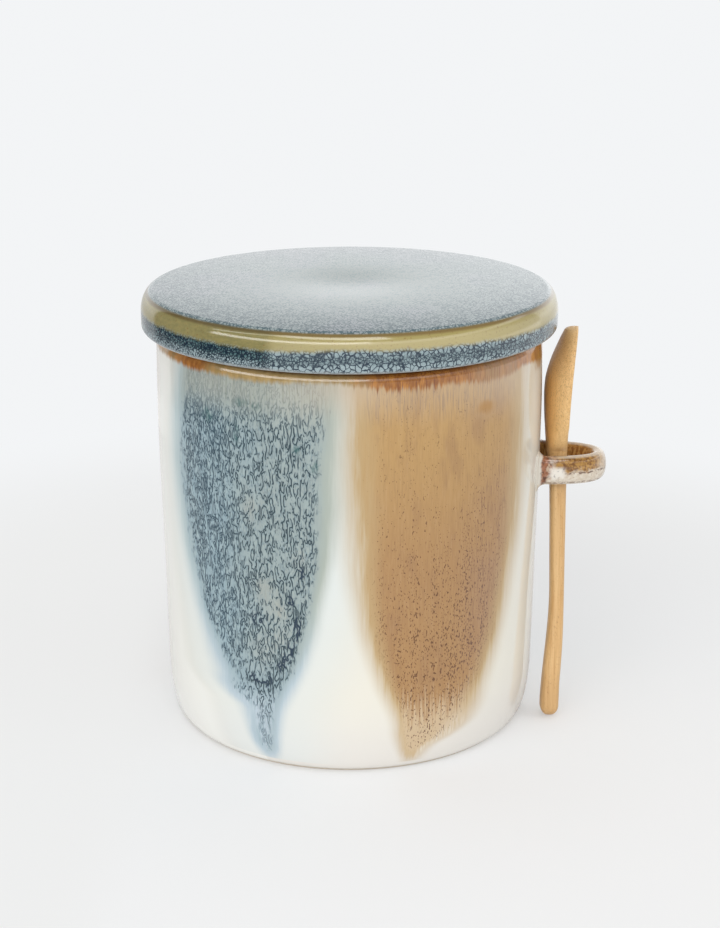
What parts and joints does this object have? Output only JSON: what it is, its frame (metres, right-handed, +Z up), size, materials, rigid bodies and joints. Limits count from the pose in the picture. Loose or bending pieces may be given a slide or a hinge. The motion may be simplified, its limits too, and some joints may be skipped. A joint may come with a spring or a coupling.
{
  "type": "storage jar with spoon",
  "caption": "Round glazed stoneware storage jar with a flat overhanging lid, a seal under it, and a bamboo spoon standing in a loop on the jar's side.",
  "frame": {"origin": "on the jar's axis, on the surface that the jar stands on", "axes": "+Z up along the jar's axis, +X out through the loop and the spoon"},
  "size_m": [0.1351, 0.1198, 0.1294],
  "materials": {
    "jar_body": "glossy ivory glaze with poured blue and tan drips",
    "spoon_loop": "glossy amber glaze that breaks to cream",
    "lid": "glossy crackled blue-grey glaze with an olive edge",
    "lid_seal": "matt translucent silicone",
    "spoon": "oiled bamboo"
  },
  "bodies": {
    "jar": {"jar_body": "jar_body", "spoon_loop": "spoon_loop"},
    "lid": {"lid": "lid", "lid_seal": "lid_seal"},
    "spoon": {"spoon": "spoon"}
  },
  "joints": [
    {"name": "lid_lift", "type": "slide", "parent": "jar", "child": "lid", "axis": [0, 0, 1], "range_m": [0, 0.12]},
    {"name": "spoon_lift", "type": "hinge", "parent": "jar", "child": "spoon", "pos_m": [0.46351, -0.01163, 0.03004], "axis": [0, 0.9886, -0.1507], "range_deg": [0, 14.3]}
  ]
}
